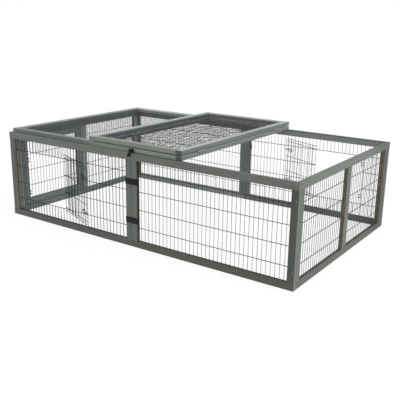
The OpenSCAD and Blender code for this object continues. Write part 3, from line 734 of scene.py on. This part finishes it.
# The heads at the left end take the darker copy: painted shade
corner_screws.data.materials.append(SHADED_SCREWS)
for polygon in corner_screws.data.polygons:
    if polygon.center.x < 0:
        polygon.material_index = 1

for node in ("end_hinge_fixed_leaves", "end_hinge_door_leaves", "end_hinge_pins", "left_hinge_fixed_leaves",
             "left_hinge_moving_leaves", "left_hinge_pins", "right_hinge_lower_leaves",
             "right_hinge_upper_leaves", "right_hinge_pins", "end_door_button", "end_door_button_screw"):
    coat(node, ZINC)
for node in ("roof_latch_plate", "roof_latch_hook", "roof_latch_stud"):
    coat(node, BLACK)

# Three screws in each leaf, the middle one nearer to the pin
fixed, moving = [], []
for hinge_z in END_HINGE_Z:
    for up in (-20, 0, 20):
        across = (14 if up else 10) * MM
        for group, s in ((fixed, -1), (moving, 1)):
            at = (-HALF_L - END_LEAF_T, END_DOOR_Y - END_GAP / 2 + s * across, hinge_z + up * MM)
            group.append(screw(*END_LEAF_HEAD, at, (-1, 0, 0), 20 + up))
make("end_hinge_screws_fixed", join(fixed), ZINC, "run")
make("end_hinge_screws_door", join(moving), ZINC, "end_door")
fixed, moving = [], []
for hinge_y in ROOF_HINGE_Y:
    for along in (-21, 0, 21):
        across = (12 if along else 8) * MM
        for group, s in ((fixed, -1), (moving, 1)):
            at = (ROOF_HINGE_X + s * across, hinge_y + along * MM, ROOF_TOP + ROOF_LEAF_T)
            group.append(screw(*ROOF_LEAF_HEAD, at, (0, 0, 1), 15 + along))
make("roof_hinge_screws_fixed", join(fixed), ZINC, "run")
make("roof_hinge_screws_moving", join(moving), ZINC, "roof_middle")


def strip(profile, z0, z1, thick):
    """A bent strip: its profile is a path in plan, its height along Z, its edges a little rounded."""
    path = rounded([Vector((x, y, 0)) for x, y in profile], 2.0 * MM)
    e = min(0.35 * thick, 0.6 * MM)
    ring = [(-thick / 2, z0 + e), (-thick / 2, z1 - e), (-thick / 2 + e, z1), (thick / 2 - e, z1),
            (thick / 2, z1 - e), (thick / 2, z0 + e), (thick / 2 - e, z0), (-thick / 2 + e, z0)]
    verts = []
    for p, a, b in zip(path, path[:1] + path, path[1:] + path[-1:]):
        t = (b - a).normalized()
        verts += [Vector((p.x - t.y * d, p.y + t.x * d, z)) for d, z in ring]
    return verts, skin(len(path), len(ring))


clips = []
clip_x, clip_y, legs = RAIL + CLIP_T / 2, -HALF_W - CLIP_T / 2, -HALF_W + CLIP_REACH
profile = [(-clip_x, legs), (-clip_x, clip_y), (clip_x, clip_y), (clip_x, legs)]
for z in CLIP_Z:
    for turn in (0, 180):
        clip = strip(profile, z - CLIP_HALF_H, z + CLIP_HALF_H, CLIP_T)
        clips.append(moved(clip, Matrix.Rotation(math.radians(turn), 4, "Z")))
make("frame_clip_plates", join(clips), BLACK, "run", "frame_clips", smooth=False)


# ---------- stage: a floor that looks white and keeps the shadow, an even white world, two soft suns ----------

bpy.ops.mesh.primitive_plane_add(size=60, location=(0, 0, 0))
floor = bpy.context.object
floor.name = "floor"
n = Material("floor_white")
n.tree.nodes.remove(n.shader)
bounce = n.add("ShaderNodeBsdfDiffuse", {"Color": (0.80, 0.80, 0.80)}).outputs[0]
shadowed = n.add("ShaderNodeBsdfDiffuse", {"Color": (0.14, 0.14, 0.14)}).outputs[0]
glow = n.add("ShaderNodeEmission", {"Color": (1.0, 1.0, 1.0), "Strength": 0.865}).outputs[0]
white = n.add("ShaderNodeAddShader", {0: shadowed, 1: glow}).outputs[0]
surface = n.add("ShaderNodeMixShader", {0: n.seen(), 1: bounce, 2: white}).outputs[0]
n.tree.links.new(surface, n.tree.nodes["Material Output"].inputs["Surface"])
floor.data.materials.append(n.mat)

world = bpy.data.worlds.new("world")
bpy.context.scene.world = world
n = Nodes(world)
n.tree.nodes.clear()
strength = n.add("ShaderNodeMapRange", {"Value": n.seen(), "To Min": 0.62, "To Max": 1.0}).outputs[0]
sky = n.add("ShaderNodeBackground", {"Color": (1.0, 1.0, 1.0), "Strength": strength}).outputs[0]
n.add("ShaderNodeOutputWorld", {"Surface": sky})


def sun(name, at, towards, energy, angle):
    """A sun that shines from one point towards another, its disc as wide as the angle in degrees."""
    data = bpy.data.lights.new(name, "SUN")
    data.energy = energy
    data.angle = math.radians(angle)
    ob = bpy.data.objects.new(name, data)
    bpy.context.scene.collection.objects.link(ob)
    ob.location = at
    ob.rotation_euler = (Vector(towards) - Vector(at)).to_track_quat("-Z", "Y").to_euler()


sun("key", (3.0, -1.2, 5.0), (0, 0, 0.2), 1.5, 50)
sun("side", (4.0, -1.0, 1.6), (0, 0, 0.2), 0.5, 60)

# The photo's camera, fitted to the corners of the walls
cam_data = bpy.data.cameras.new("camera")
cam_data.sensor_width = 36
cam_data.lens = 55.93
cam_data.clip_end = 100
cam = bpy.data.objects.new("camera", cam_data)
bpy.context.scene.collection.objects.link(cam)
cam.location = (1.9491, -2.7752, 1.1226)
cam.rotation_euler = (1.2822004, -0.0155087, 0.6095410)
bpy.context.scene.camera = cam
bpy.context.scene.view_settings.view_transform = "Standard"
